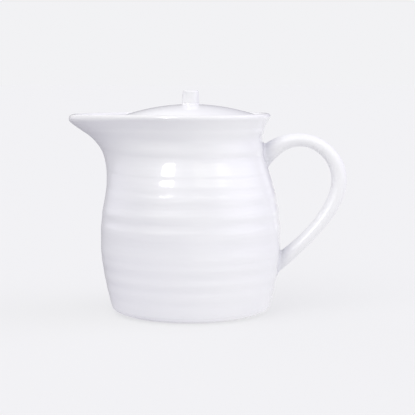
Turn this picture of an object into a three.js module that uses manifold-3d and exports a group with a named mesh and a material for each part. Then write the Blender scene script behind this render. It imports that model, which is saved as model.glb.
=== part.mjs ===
// A hot beverage server in glazed ceramic: a thrown jug with a pulled lip, an ear handle,
// and a domed lid with a knob that drops onto a ledge inside the rim.
// Millimetres, +Z up. The lip points to -X and the handle to +X. The origin lies on the
// table, midway between the tip of the lip and the back of the handle.

import * as THREE from "three";
import { mergeVertices } from "three/addons/utils/BufferGeometryUtils.js";
import Module from "manifold-3d";

const wasm = await Module();
wasm.setup();

// Outside of the jug: each place on the wall has its radius and its height
const footRadius = 50;
const footWidth = 5;
const footRecess = 2.2;
const footBevel = 0.8;
const heelRadius = 60;
const heelHeight = 6;
const heelLean = 15;
const bellyRadius = 68;
const bellyHeight = 55;
const neckRadius = 54.6;
const neckDrop = 20.5;
const rimHeight = 150.5;
const rimFlare = 5.2;
const rimLean = 34;

// How far each curve of the outline holds its direction, as a share of the rise it spans
const heelHold = 0.28;
const bellyHoldBelow = 0.34;
const bellyHoldAbove = 0.55;
const neckHoldBelow = 0.28;
const neckHoldAbove = 0.2;
const rimHold = 0.48;
const footSplay = 12;
const footHold = 0.9;
const heelHoldBelow = 0.55;

// Thickness of the clay
const wallThickness = 4.9;
const floorThickness = 5.4;
const floorCorner = 9;

// Throwing rings left by the fingers on the wet wall: the heights of their crests, how deep the
// hollow above each crest is and how far up that hollow it is deepest, and the plain wall left
// below the rim
const ringHeights = [9, 19.4, 29, 40, 47, 65.5, 77.7, 90.8, 99.2, 106.8, 123.7, 137.8, 143];
const ringDepths = [0.18, 0.38, 0.44, 0.15, 0.57, 0.51, 0.33, 0.16, 0.12, 0.6, 0.72, 0.14, 0];
const ringDeepest = [0.5, 0.5, 0.5, 0.5, 0.5, 0.5, 0.5, 0.5, 0.82, 0.7, 0.6, 0.4, 0.5];
const ringMargin = 3;

// Pulled pouring lip
const lipReach = 31.5;
const lipDip = 1.5;
const lipSlope = 38;
const lipSpread = 70;
const lipTipRound = 0.3;
const lipSharpness = 2.4;
const lipStartHeight = 84;
const lipWaistHeight = 103;
const lipWaistStandout = 2.8;
const lipRootHold = 0.4;
const lipWaistHold = 0.74;
const lipTipHold = 0.38;

// Where the lid's ledge and the neck run out into the lip, as shares of the way to its tip
const channelAtLedge = 0.86;
const channelAtBevel = 0.72;
const channelAtEdge = 0.67;
const channelAtNeck = 0.55;

// Ledge for the lid, inside the rim
const ledgeDrop = 6.2;
const ledgeWidth = 4;
const ledgeSlant = 1.2;

// Lid
const lidClearance = 1.1;
const lidEdge = 3.6;
const lidCrown = 9;
const lidEdgeTurn = 75;
const lidThickness = 4.4;
const collarClearance = 1.3;
const collarDepth = 9.5;
const collarThickness = 4;
const collarBevel = 0.8;

// Knob
const knobRadius = 6.1;
const knobTaper = 0.25;
const knobHeight = 10.4;
const knobRound = 1.3;
const knobSkirt = 0.5;
const knobSkirtRise = 0.25;
const knobSkirtHeight = 0.75;
const knobSkirtTuck = 0.7;

// Handle: a strap with an oval section, wider than it is thick
const handleStandoff = 49.5;
const handleBackDrop = 50.5;
const upperRootDrop = 32;
const upperRootAngle = 45;
const lowerRootHeight = 38;
const lowerRootAngle = 38;
const rootSink = 11;
const upperSweep = 36.5;
const upperFall = 24;
const lowerFall = 26;
const lowerSweep = 10;
const strapRoot = [15, 20];
const strapCrown = [9.8, 16];
const strapBack = [11.4, 15];
const strapTail = [10, 15.5];
const strapFoot = [11.5, 18];
const strapSquareness = 2;

// Gap left at every joint of slip and under the lid
const jointGap = 0.3;

// Facets
const turnSteps = 56;
const lipCrowding = 0.45;
const sideCrowding = 0.14;
const rimSteps = 7;
const throatSteps = 5;
const cornerSteps = 3;
const lidSteps = 48;
const lidEdgeSteps = 5;
const knobSteps = 28;
const knobRoundSteps = 4;
const strapSteps = 44;
const strapSides = 16;
const heelStops = [0, 0.35, 0.7];
const wallStops = [0.25, 0.5, 0.75, 1];
const rimStops = [0, 0.5, 1];
const lidUnderStops = [0.35, 0.7, 0.94];
const lidTopStops = [0.88, 0.72, 0.54, 0.36, 0.18];

const radians = THREE.MathUtils.degToRad;
const lerp = THREE.MathUtils.lerp;
const point = (r, z) => new THREE.Vector2(r, z);

// Values that follow from the sizes above
const lipRadius = wallThickness / 2;
const neckHeight = rimHeight - neckDrop;
const rimRadius = neckRadius + rimFlare;
const throatRadius = neckRadius - wallThickness;
const ledgeHeight = rimHeight - ledgeDrop;
const ledgeRadius = throatRadius + ledgeWidth;
const lipTip = rimRadius + lipReach;
const handleReach = bellyRadius + handleStandoff;
const axisX = (lipTip - handleReach) / 2;
const floorHeight = footRecess + floorThickness;

// A smooth stretch of outline: two ends, and how far each end's direction carries
function stretch(start, startAngle, startCarry, end, endAngle, endCarry) {
  const leave = arcPoint(start, startCarry, startAngle);
  const arrive = arcPoint(end, endCarry, endAngle + 180);
  return new THREE.CubicBezierCurve(start, leave, arrive, end);
}

// The point of a circle at an angle in degrees, and points round an arc
function arcPoint(centre, radius, angle) {
  return point(Math.cos(radians(angle)), Math.sin(radians(angle))).multiplyScalar(radius).add(centre);
}

function arcPoints(centre, radius, from, to, steps) {
  const points = [];
  for (let i = 0; i <= steps; i += 1) {
    points.push(arcPoint(centre, radius, lerp(from, to, i / steps)));
  }
  return points;
}

// The jug's wall from heel to rim, set in from the outside by a thickness
function wallCurves(inset) {
  const belly = point(bellyRadius - inset, bellyHeight);
  const neck = point(neckRadius - inset, neckHeight);
  const heel = point(heelRadius - inset, heelHeight + inset);
  const rimAngle = radians(rimLean);
  const rim = point(
    rimRadius - lipRadius + (lipRadius - inset) * Math.cos(rimAngle),
    rimHeight - lipRadius - (lipRadius - inset) * Math.sin(rimAngle),
  );
  const rise = bellyHeight - heel.y;
  const shoulder = neckHeight - bellyHeight;
  const flare = rim.y - neckHeight;
  return [
    stretch(heel, 90 - heelLean, rise * heelHold, belly, 90, rise * bellyHoldBelow),
    stretch(belly, 90, shoulder * bellyHoldAbove, neck, 90, shoulder * neckHoldBelow),
    stretch(neck, 90, flare * neckHoldAbove, rim, 90 - rimLean, flare * rimHold),
  ];
}

// The point of a rising outline at a given height
function pointAtHeight(curves, height) {
  const curve = curves.find((c) => height <= c.v3.y) ?? curves[curves.length - 1];
  let low = 0;
  let high = 1;
  for (let i = 0; i < 40; i += 1) {
    const middle = (low + high) / 2;
    if (curve.getPoint(middle).y < height) low = middle;
    else high = middle;
  }
  return curve.getPoint((low + high) / 2);
}

const outerWall = wallCurves(0);
const innerWall = wallCurves(wallThickness);
const rimStart = outerWall[2].v3;

// The rings that fit on the wall, between the heel and the plain wall below the rim
const rings = ringHeights
  .map((crest, n) => ({ crest, depth: ringDepths[n], deepest: ringDeepest[n] }))
  .filter(({ crest }) => crest > heelHeight && crest < rimStart.y - ringMargin);

// How far the wall lies behind its outline at a height: nothing on a crest, deepest between two
function ringHollow(height) {
  const n = rings.findIndex(({ crest }) => crest > height);
  if (n < 1) return 0;
  const { crest, depth, deepest } = rings[n - 1];
  const share = (height - crest) / (rings[n].crest - crest);
  const turn = share < deepest ? share / deepest : 1 + (share - deepest) / (1 - deepest);
  return (depth * (1 - Math.cos(Math.PI * turn))) / 2;
}

// The underside of the lip, along its middle: it leaves the wall, stands upright at its waist
// and then sweeps out to the tip. The floor of its channel lies one wall above it.
const tipCentre = point(lipTip - lipRadius, rimHeight - lipDip - lipRadius);
const tipStart = arcPoint(tipCentre, lipRadius, lipSlope - 90);

function lipUnderside() {
  const start = pointAtHeight(outerWall, lipStartHeight);
  const above = pointAtHeight(outerWall, lipStartHeight + 1);
  const startAngle = THREE.MathUtils.radToDeg(above.sub(start).angle());
  const waist = pointAtHeight(outerWall, lipWaistHeight);
  waist.x += lipWaistStandout;
  const rootRise = lipWaistHeight - lipStartHeight;
  const sweepRise = tipStart.y - lipWaistHeight;
  const line = new THREE.CurvePath();
  line.add(stretch(start, startAngle, rootRise * lipRootHold, waist, 90, rootRise * lipRootHold));
  line.add(stretch(waist, 90, sweepRise * lipWaistHold, tipStart, lipSlope, lipReach * lipTipHold));
  return line;
}

const keel = lipUnderside();

function channelPoint(share) {
  const tangent = keel.getTangentAt(share);
  return keel.getPointAt(share).add(point(-tangent.y, tangent.x).multiplyScalar(wallThickness));
}

// The jug's section. Each station has its place on the round wall and its place on the lip's
// middle line; away from the lip the first holds, along the middle of the lip the second.
function outerStations(grow) {
  const stations = [];
  const heel = stretch(
    point(footRadius + footBevel, footBevel), footSplay, heelHeight * footHold,
    outerWall[0].v0, 90 - heelLean, heelHeight * heelHoldBelow,
  );
  for (const share of heelStops) {
    stations.push({ round: heel.getPoint(share) });
  }
  const heights = [heelHeight, (heelHeight + rings[0].crest) / 2];
  rings.slice(0, -1).forEach(({ crest, deepest }, n) => {
    for (const share of [0, deepest / 2, deepest, (1 + deepest) / 2]) {
      heights.push(lerp(crest, rings[n + 1].crest, share));
    }
  });
  for (const share of rimStops) {
    heights.push(lerp(rings.at(-1).crest, rimStart.y, share));
  }
  const span = rimStart.y - lipStartHeight;
  for (const height of heights) {
    const round = pointAtHeight(outerWall, height);
    const share = (height - lipStartHeight) / span;
    const lip = share > 0 ? keel.getPointAt(Math.min(share, 1)) : round;
    stations.push({ round, lip, hollow: ringHollow(height) });
  }
  for (const station of stations) {
    station.lip = (station.lip ?? station.round).clone();
    station.round = station.round.clone();
    station.round.x += grow - (station.hollow ?? 0);
    station.lip.x += grow - (station.hollow ?? 0);
  }
  return stations;
}

function rimStations() {
  const centre = point(rimRadius - lipRadius, rimHeight - lipRadius);
  const round = arcPoints(centre, lipRadius, -rimLean, 180, rimSteps);
  const lip = arcPoints(tipCentre, lipRadius, lipSlope - 90, lipSlope + 90, rimSteps);
  return round.map((p, i) => ({ round: p, lip: lip[i] })).slice(1);
}

function innerStations() {
  const stations = [
    { round: point(ledgeRadius, ledgeHeight), lip: channelPoint(channelAtLedge) },
    { round: point(throatRadius + ledgeSlant / 2, ledgeHeight), lip: channelPoint(channelAtBevel) },
    { round: point(throatRadius, ledgeHeight - ledgeSlant), lip: channelPoint(channelAtEdge) },
  ];
  for (let i = 0; i <= throatSteps; i += 1) {
    const share = i / throatSteps;
    const round = pointAtHeight(innerWall, lerp(neckHeight, lipStartHeight, share));
    stations.push({ round, lip: channelPoint(channelAtNeck * (1 - share)) });
  }
  stations.at(-1).lip = stations.at(-1).round;
  for (const share of wallStops) {
    const height = lerp(lipStartHeight, floorHeight + floorCorner, share);
    stations.push({ round: pointAtHeight(innerWall, height) });
  }
  const corner = stations.at(-1).round;
  const cornerCentre = point(corner.x - floorCorner, corner.y);
  for (const p of arcPoints(cornerCentre, floorCorner, 0, -90, cornerSteps).slice(1)) {
    stations.push({ round: p });
  }
  stations.push({ round: point(0, floorHeight) });
  return stations;
}

// How much of the lip there is at an angle from its middle: 1 on it, 0 outside its spread
function lipShare(angle) {
  const away = Math.abs(angle) / radians(lipSpread);
  if (away >= 1) return 0;
  const eased = (x) => Math.hypot(x, lipTipRound) - lipTipRound;
  return Math.pow(1 - eased(away) / eased(1), lipSharpness);
}

// Turns a section about the jug's axis and draws the lip out of it. The turning steps are
// crowded towards the lip, where the wall bends most.
function turnWithLip(stations) {
  const section = stations.map((station) => station.round);
  const geometry = new THREE.LatheGeometry(section, turnSteps);
  const position = geometry.getAttribute("position");
  for (let i = 0; i <= turnSteps; i += 1) {
    const step = (i / turnSteps) * 2 * Math.PI;
    const angle = step - lipCrowding * Math.sin(step) - sideCrowding * Math.sin(2 * step);
    const share = lipShare(angle > Math.PI ? angle - 2 * Math.PI : angle);
    stations.forEach((station, j) => {
      const place = station.round.clone().lerp(station.lip ?? station.round, share);
      const x = -place.x * Math.cos(angle);
      const y = -place.x * Math.sin(angle);
      position.setXYZ(i * stations.length + j, x, y, place.y);
    });
  }
  return geometry;
}

function jugGeometry() {
  const foot = [
    { round: point(0, footRecess) },
    { round: point(footRadius - footWidth - footRecess / 2, footRecess) },
    { round: point(footRadius - footWidth, 0) },
    { round: point(footRadius, 0) },
  ];
  return turnWithLip([...foot, ...outerStations(0), ...rimStations(), ...innerStations()]);
}

// The outside of the jug as a full block, one joint gap larger, to trim the handle's roots
function trimmingBlock() {
  const wall = outerStations(jointGap);
  const bottom = { round: point(0, wall[0].round.y) };
  const top = { round: point(0, wall.at(-1).round.y) };
  return turnWithLip([bottom, ...wall, top]);
}

// A surface of revolution about +Z
function turned(section, steps) {
  return new THREE.LatheGeometry(section, steps).rotateX(Math.PI / 2);
}

// Height of the lid's top at a radius from the axis
const lidRadius = ledgeRadius - lidClearance;
const lidSeat = ledgeHeight + jointGap;
const lidTop = (r) => lidSeat + lidEdge + lidCrown * (1 - (r / lidRadius) ** 2);

function lidGeometry() {
  const collarRadius = throatRadius - collarClearance;
  const collarInside = collarRadius - collarThickness;
  const collarFoot = ledgeHeight - collarDepth;
  const edgeRound = lidEdge / 2;
  const edgeCentre = point(lidRadius - edgeRound, lidSeat + edgeRound);
  const section = [point(0, lidTop(0) - lidThickness)];
  for (const share of lidUnderStops) {
    const r = collarInside * share;
    section.push(point(r, lidTop(r) - lidThickness));
  }
  section.push(point(collarInside, lidSeat - collarBevel));
  section.push(point(collarInside, collarFoot + collarBevel));
  section.push(point(collarInside + collarBevel, collarFoot));
  section.push(point(collarRadius - collarBevel, collarFoot));
  section.push(point(collarRadius, collarFoot + collarBevel));
  section.push(point(collarRadius, lidSeat));
  section.push(...arcPoints(edgeCentre, edgeRound, -90, lidEdgeTurn, lidEdgeSteps));
  for (const share of lidTopStops) {
    section.push(point(lidRadius * share, lidTop(lidRadius * share)));
  }
  section.push(point(0, lidTop(0)));
  return turned(section, lidSteps);
}

function knobGeometry() {
  const base = (r) => lidTop(r) + jointGap;
  const skirt = knobRadius + knobTaper + knobSkirt;
  const top = base(0) - jointGap + knobHeight;
  const upper = knobRadius - knobTaper;
  const section = [
    point(0, base(0)),
    point(skirt / 2, base(skirt / 2)),
    point(skirt, base(skirt)),
    point(skirt - knobSkirt * knobSkirtTuck, base(skirt) + knobSkirtRise),
    point(knobRadius + knobTaper, base(skirt) + knobSkirtHeight),
    ...arcPoints(point(upper - knobRound, top - knobRound), knobRound, 0, 90, knobRoundSteps),
    point(0, top),
  ];
  return turned(section, knobSteps);
}

// The handle's middle line: out of the shoulder, over the crown, down the back and into the belly
function handleLine() {
  const upperHeight = rimHeight - upperRootDrop;
  const upperRoot = pointAtHeight(outerWall, upperHeight);
  const lowerRoot = pointAtHeight(outerWall, lowerRootHeight);
  const back = point(handleReach - strapBack[0] / 2, rimHeight - handleBackDrop);
  const upperSink = arcPoint(upperRoot, rootSink, upperRootAngle + 180);
  const lowerSink = arcPoint(lowerRoot, rootSink, lowerRootAngle + 180);
  const line = new THREE.CurvePath();
  line.add(new THREE.LineCurve(upperSink, upperRoot));
  line.add(stretch(upperRoot, upperRootAngle, upperSweep, back, -90, upperFall));
  line.add(stretch(back, -90, lowerFall, lowerRoot, lowerRootAngle + 180, lowerSweep));
  line.add(new THREE.LineCurve(lowerRoot, lowerSink));
  const lengths = line.getCurveLengths();
  return { line, backShare: lengths[1] / lengths[3] };
}

// A strap lofted along the middle line, its section growing towards both roots
function strapGeometry() {
  const { line, backShare } = handleLine();
  const shares = [0, backShare / 2, backShare, (1 + backShare) / 2, 1];
  const sizes = [strapRoot, strapCrown, strapBack, strapTail, strapFoot];
  const sizeAt = (share, k) => {
    const n = Math.min(shares.findLastIndex((s) => s <= share), shares.length - 2);
    const t = THREE.MathUtils.smoothstep(share, shares[n], shares[n + 1]);
    return lerp(sizes[n][k], sizes[n + 1][k], t);
  };
  const stops = [];
  for (let i = 0; i <= strapSteps; i += 1) {
    const half = strapSteps / 2;
    stops.push(i <= half ? (backShare * i) / half : lerp(backShare, 1, (i - half) / half));
  }
  const vertices = [];
  for (const share of stops) {
    const centre = line.getPointAt(share);
    const tangent = line.getTangentAt(share);
    for (let k = 0; k < strapSides; k += 1) {
      const angle = (k / strapSides) * 2 * Math.PI;
      const oval = (v) => Math.sign(v) * Math.pow(Math.abs(v), 2 / strapSquareness);
      const out = (oval(Math.cos(angle)) * sizeAt(share, 0)) / 2;
      const side = (oval(Math.sin(angle)) * sizeAt(share, 1)) / 2;
      vertices.push(centre.x - tangent.y * out, side, centre.y + tangent.x * out);
    }
  }
  const triangles = [];
  for (let i = 0; i < strapSteps; i += 1) {
    for (let k = 0; k < strapSides; k += 1) {
      const a = i * strapSides + k;
      const b = i * strapSides + ((k + 1) % strapSides);
      triangles.push(a, a + strapSides, b, b, a + strapSides, b + strapSides);
    }
  }
  const last = strapSteps * strapSides;
  for (let k = 1; k < strapSides - 1; k += 1) {
    triangles.push(0, k, k + 1, last, last + k + 1, last + k);
  }
  const geometry = new THREE.BufferGeometry();
  geometry.setAttribute("position", new THREE.Float32BufferAttribute(vertices, 3));
  geometry.setIndex(triangles);
  return geometry;
}

function toSolid(geometry) {
  const bare = new THREE.BufferGeometry();
  bare.setAttribute("position", geometry.getAttribute("position"));
  bare.setIndex(geometry.getIndex());
  const merged = mergeVertices(bare, 1e-4);
  const index = merged.getIndex().array;
  const kept = [];
  for (let i = 0; i < index.length; i += 3) {
    const [a, b, c] = index.slice(i, i + 3);
    if (a !== b && b !== c && c !== a) kept.push(a, b, c);
  }
  const vertProperties = new Float32Array(merged.getAttribute("position").array);
  return new wasm.Manifold(new wasm.Mesh({ numProp: 3, vertProperties, triVerts: new Uint32Array(kept) }));
}

function toGeometry(solid) {
  const mesh = solid.getMesh();
  const geometry = new THREE.BufferGeometry();
  geometry.setAttribute("position", new THREE.Float32BufferAttribute(mesh.vertProperties, 3));
  geometry.setIndex(Array.from(mesh.triVerts));
  return geometry;
}

function handleGeometry() {
  return toGeometry(toSolid(strapGeometry()).subtract(toSolid(trimmingBlock())));
}

// Each piece stands on the jug's axis, and the axis stands beside the origin
function piece(name, geometry, colour) {
  const material = new THREE.MeshStandardMaterial({ color: colour, roughness: 0.12, metalness: 0 });
  geometry.computeVertexNormals();
  const mesh = new THREE.Mesh(geometry, material);
  mesh.name = name;
  mesh.position.x = axisX;
  return mesh;
}

const server = new THREE.Group();
server.name = "hot_beverage_server";
server.add(piece("jug_body", jugGeometry(), 0xeeeef4));
server.add(piece("handle", handleGeometry(), 0xeeeef4));
server.add(piece("lid", lidGeometry(), 0xf0f0f5));
server.add(piece("lid_knob", knobGeometry(), 0xf2f2f6));

export default server;
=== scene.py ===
# %% [markdown]
# A hot beverage server in white glazed ceramic. A potter throws the jug on the wheel, pulls its
# lip out of the wet rim with one finger, joins a strap of clay to it as a handle, and turns a
# lid with a knob that drops onto a ledge inside the rim. This lesson makes the same four pieces
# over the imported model: lid and knob turned in plain mesh code, wall and strap with Geometry Nodes
# as well. Everything is in metres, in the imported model's own frame, so nothing needs fitting later.

import math

import bpy
import numpy as np
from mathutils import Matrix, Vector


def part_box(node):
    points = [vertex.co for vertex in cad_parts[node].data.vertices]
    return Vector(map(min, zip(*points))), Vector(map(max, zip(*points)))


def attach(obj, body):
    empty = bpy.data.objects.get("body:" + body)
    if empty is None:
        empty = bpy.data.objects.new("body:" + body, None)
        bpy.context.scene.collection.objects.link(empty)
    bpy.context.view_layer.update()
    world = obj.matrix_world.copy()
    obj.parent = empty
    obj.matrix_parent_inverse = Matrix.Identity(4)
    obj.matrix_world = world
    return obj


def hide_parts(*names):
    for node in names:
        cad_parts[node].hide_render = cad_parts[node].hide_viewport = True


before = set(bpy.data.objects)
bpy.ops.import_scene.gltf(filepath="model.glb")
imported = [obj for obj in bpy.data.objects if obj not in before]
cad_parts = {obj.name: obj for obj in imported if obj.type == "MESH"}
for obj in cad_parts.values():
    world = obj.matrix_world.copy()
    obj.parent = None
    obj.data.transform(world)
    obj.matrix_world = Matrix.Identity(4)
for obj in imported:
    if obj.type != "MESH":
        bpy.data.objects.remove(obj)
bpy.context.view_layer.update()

# %% [markdown]
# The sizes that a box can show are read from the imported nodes: where the axis stands, how wide the
# belly is, how far lip and handle reach. Outlines are drawn in millimetres, which are easier to
# read, and become metres with the mesh. The fingers' lines are cut into the wall later, so the
# belly is drawn a little fuller than its box.

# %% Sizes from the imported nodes, in millimetres
MM = 0.001


def box_mm(node):
    return [np.array(corner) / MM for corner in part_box(node)]


jug_low, jug_high = box_mm("jug_body")
lid_low, lid_high = box_mm("lid")
handle_high, knob_high = box_mm("handle")[1], box_mm("lid_knob")[1]
axis_x = (lid_low[0] + lid_high[0]) / 2
room_for_lines = 0.25
belly_radius = (jug_high[1] - jug_low[1]) / 2 + room_for_lines
rim_height, lip_tip = jug_high[2], axis_x - jug_low[0]
handle_reach, lid_radius = handle_high[0] - axis_x, (lid_high[1] - lid_low[1]) / 2
print(f"axis at x {axis_x:.1f}, belly {2 * belly_radius:.1f} across, rim {rim_height:.1f} high")

# %% [markdown]
# An outline is a row of points, each a radius from the axis and a height. Smooth stretches between
# two ends with given directions draw it. Blender has Bezier curves for this too, but here each
# point of the wall needs a partner on the lip, and rows of numbers are easier to pair.

# %% Helpers that draw outlines
LINE_STEPS = 400


def bearing(degrees):
    return np.array([math.cos(math.radians(degrees)), math.sin(math.radians(degrees))])


def stretch(start, start_angle, start_carry, end, end_angle, end_carry, steps=LINE_STEPS):
    """A smooth stretch: two ends, and how far each end's direction carries."""
    leave = start + start_carry * bearing(start_angle)
    arrive = end - end_carry * bearing(end_angle)
    t = np.linspace(0, 1, steps + 1)[:, None]
    u = 1 - t
    return u**3 * start + 3 * u**2 * t * leave + 3 * u * t**2 * arrive + t**3 * end


def join(*lines):
    return np.concatenate([lines[0]] + [line[1:] for line in lines[1:]])


print("steps in a stretch:", LINE_STEPS)

# %% [markdown]
# The wall rises from a narrow heel to a full belly, draws in to the neck and flares a little at
# the rim. Three smooth stretches draw its outside, and the inside is the same line set in by the
# thickness of the clay. A hold is how far a stretch keeps an end's direction, as a share of its
# height.

# %% Outline of the wall
heel_radius, heel_height, heel_lean, heel_hold = 60.0, 6.0, 15.0, 0.28
belly_height, belly_hold_below, belly_hold_above = 55.0, 0.34, 0.55
neck_radius, neck_height = 54.6, rim_height - 20.5
neck_hold_below, neck_hold_above = 0.28, 0.2
rim_radius, rim_lean, rim_hold = neck_radius + 5.2, 34.0, 0.48
wall_thickness = 4.9
rim_round = wall_thickness / 2
rim_centre = np.array([rim_radius - rim_round, rim_height - rim_round])


def wall_line(inset):
    heel = np.array([heel_radius - inset, heel_height + inset])
    belly = np.array([belly_radius - inset, belly_height])
    neck = np.array([neck_radius - inset, neck_height])
    rim = rim_centre + (rim_round - inset) * bearing(-rim_lean)
    rise, shoulder, flare = belly[1] - heel[1], neck[1] - belly[1], rim[1] - neck[1]
    return join(
        stretch(heel, 90 - heel_lean, rise * heel_hold, belly, 90, rise * belly_hold_below),
        stretch(belly, 90, shoulder * belly_hold_above, neck, 90, shoulder * neck_hold_below),
        stretch(neck, 90, flare * neck_hold_above, rim, 90 - rim_lean, flare * rim_hold),
    )


outer_wall, inner_wall = wall_line(0), wall_line(wall_thickness)
rim_start = outer_wall[-1]
print(f"wall: {len(outer_wall)} points up to {rim_start.round(2)}")

# %% [markdown]
# The lip is pulled, not turned. Its middle line leaves the wall below the neck, stands upright at
# a waist and sweeps out to the tip, where the edge is thick and round. A channel runs along its
# top, one wall above the underside. Every station of the turned section gets a partner on that
# line, and the wall moves from one to the other as it comes round to the lip. A separate spout
# would leave a seam.

# %% Middle line of the lip
lip_dip, lip_edge_round, lip_slope = 0.7, 3.4, 42.0
lip_start_height, lip_waist_height, lip_waist_standout = 84.0, 103.0, 2.8
lip_root_hold, lip_waist_hold, lip_tip_hold = 0.4, 0.7, 0.47


def at_height(line, height):
    """Points of a rising line at given heights."""
    height = np.asarray(height, float)
    return np.stack([np.interp(height, line[:, 1], line[:, 0]), height], axis=-1)


lip_start, lip_above = at_height(outer_wall, [lip_start_height, lip_start_height + 1])
lip_start_angle = math.degrees(math.atan2(*(lip_above - lip_start)[::-1]))
lip_waist = at_height(outer_wall, lip_waist_height) + [lip_waist_standout, 0]
tip_centre = np.array([lip_tip - lip_edge_round, rim_height - lip_dip - lip_edge_round])
tip_start = tip_centre + lip_edge_round * bearing(lip_slope - 90)
root_carry = (lip_waist_height - lip_start_height) * lip_root_hold
sweep_carry = (tip_start[1] - lip_waist_height) * lip_waist_hold
tip_carry = (lip_tip - rim_radius) * lip_tip_hold
keel = join(
    stretch(lip_start, lip_start_angle, root_carry, lip_waist, 90, root_carry),
    stretch(lip_waist, 90, sweep_carry, tip_start, lip_slope, tip_carry),
)
keel_direction = np.gradient(keel, axis=0)
keel_direction /= np.linalg.norm(keel_direction, axis=1)[:, None]
keel_inwards = np.stack([-keel_direction[:, 1], keel_direction[:, 0]], axis=1)
channel_line = keel + wall_thickness * keel_inwards
print(f"lip: {lip_tip - rim_radius:.1f} mm beyond the rim")

# %% [markdown]
# The potter's fingers leave rings on the wall: soft crests with shallow hollows between them, no
# two alike. A wave with an even pitch would look machined, so each ring has its own row: the
# height of its crest, the depth of the hollow above it, and how far up that is deepest.

# %% Throwing rings
rings = np.array([
    (9.0, 0.18, 0.5), (19.4, 0.38, 0.5), (29.0, 0.44, 0.5), (40.0, 0.15, 0.5), (47.0, 0.57, 0.5),
    (65.5, 0.51, 0.5), (77.7, 0.33, 0.5), (90.8, 0.16, 0.5), (99.2, 0.12, 0.82), (106.8, 0.60, 0.7),
    (123.7, 0.72, 0.6), (137.8, 0.14, 0.4), (143.0, 0.0, 0.5),
])
ring_crests, ring_hollows, ring_deepest = rings.T
ring_depth = ring_hollows.max()
print(f"{len(rings)} ring crests, the deepest hollow {ring_depth:.2f} mm")

# %% [markdown]
# The section goes from the middle of the foot, out under the heel, up the outside, over the rim,
# down past the ledge that holds the lid, and across the floor inside. Each station also has marks
# for later steps: its place on the throwing rings and their depth there, how strongly the fingers
# dragged, where the clay is bare, and where the glaze runs thin.

# %% Section: foot and heel
MARKS = ("ring_turn", "ring_weight", "thrown", "bare", "thin")
section = {"round": [], "lip": [], **{mark: [] for mark in MARKS}}
foot_radius, foot_width, foot_recess, foot_bevel, foot_soft = 50.0, 5.0, 2.2, 0.8, 0.5
foot_splay, foot_hold, heel_hold_below, heel_steps = 12.0, 0.9, 0.55, 14


def add_stations(round_line, lip_line=None, **marks):
    section["round"].append(round_line)
    section["lip"].append(round_line if lip_line is None else lip_line)
    for mark in MARKS:
        section[mark].append(np.broadcast_to(marks.get(mark, 0.0), len(round_line)))


def softened(corners, reach, run_steps=4, bend_steps=5, largest_share=0.45):
    """Straight runs with rounded corners. As many corners always give as many points."""
    corners = np.asarray(corners, float)
    rows, tail, first = [], corners[0], 0
    for before, corner, after in zip(corners, corners[1:], corners[2:]):
        back, on = before - corner, after - corner
        enter = corner + back * min(reach / np.linalg.norm(back), largest_share)
        leave = corner + on * min(reach / np.linalg.norm(on), largest_share)
        t = np.linspace(0, 1, bend_steps + 1)[:, None]
        rows.append(np.linspace(tail, enter, run_steps, endpoint=False)[first:])
        rows.append((1 - t) ** 2 * enter + 2 * t * (1 - t) * corner + t**2 * leave)
        tail, first = leave, 1
    rows.append(np.linspace(tail, corners[-1], run_steps + 1)[1:])
    return np.concatenate(rows)


foot_inside, wiped_height = foot_radius - foot_width, foot_bevel / 4
heel_start = np.array([foot_radius + foot_bevel, foot_bevel])
foot_line = softened(
    [(0, foot_recess), (foot_inside - foot_recess / 2, foot_recess), (foot_inside, 0),
     (foot_radius, 0), heel_start],
    reach=foot_soft,
)
add_stations(foot_line, bare=(foot_line[:, 1] < wiped_height) * 1.0)
heel_line = stretch(
    heel_start, foot_splay, heel_height * foot_hold,
    outer_wall[0], 90 - heel_lean, heel_height * heel_hold_below, heel_steps,
)
add_stations(heel_line[1:])
print(f"foot and heel: {len(foot_line) + heel_steps} stations")

# %% [markdown]
# Up the outside, the stations are level with each other on the round wall. From the lip's start
# upwards, their partners are spread along the lip's middle line. The turn of a ring counts up by
# one from crest to crest, and is a half where the hollow is deepest.

# %% Section: outside of the wall
wall_steps, heel_fade, rim_fade = 200, 8.0, 6.0


def shares_of(line):
    """How far along the line each of its points lies, from 0 to 1."""
    steps = np.linalg.norm(np.diff(line, axis=0), axis=1)
    return np.concatenate([[0], np.cumsum(steps)]) / steps.sum()


def at_share(line, known, share):
    return np.stack([np.interp(share, known, line[:, k]) for k in range(2)], axis=-1)


def smooth(x):
    x = np.clip(x, 0, 1)
    return x * x * (3 - 2 * x)


wall_heights = np.linspace(heel_height, rim_start[1], wall_steps + 1)[1:]
lip_along = np.clip((wall_heights - lip_start_height) / (rim_start[1] - lip_start_height), 0, 1)
keel_shares = shares_of(keel)
wall_round, wall_lip = at_height(outer_wall, wall_heights), at_share(keel, keel_shares, lip_along)
wall_lip = np.where((lip_along > 0)[:, None], wall_lip, wall_round)
ring_at = np.interp(wall_heights, ring_crests, np.arange(len(rings)))
ring = ring_at.astype(int)
up, deepest = ring_at - ring, ring_deepest[ring]
ring_turn = ring + np.where(up < deepest, up / deepest, 1 + (up - deepest) / (1 - deepest)) / 2
from_heel, to_rim = wall_heights - heel_height, rim_start[1] - wall_heights
add_stations(
    wall_round, wall_lip, ring_turn=ring_turn, ring_weight=ring_hollows[ring] / ring_depth,
    thrown=smooth(from_heel / heel_fade) * smooth(to_rim / rim_fade),
)
print(f"outside: {wall_steps} stations, {(lip_along > 0).sum()} of them with a lip")

# %% [markdown]
# The glaze runs thin over the rim's edge. Inside it, the ledge that holds the lid runs all round,
# except at the lip, where its corners open out into the channel.

# %% Section: rim and ledge
rim_steps, ledge_drop, ledge_width, ledge_slant, ledge_soft = 18, 6.2, 4.0, 1.2, 0.7
ledge_in_channel = [0.86, 0.72, 0.67, 0.55]


def arc(centre, radius, start, end, steps):
    return np.array([centre + radius * bearing(a) for a in np.linspace(start, end, steps + 1)])


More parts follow.
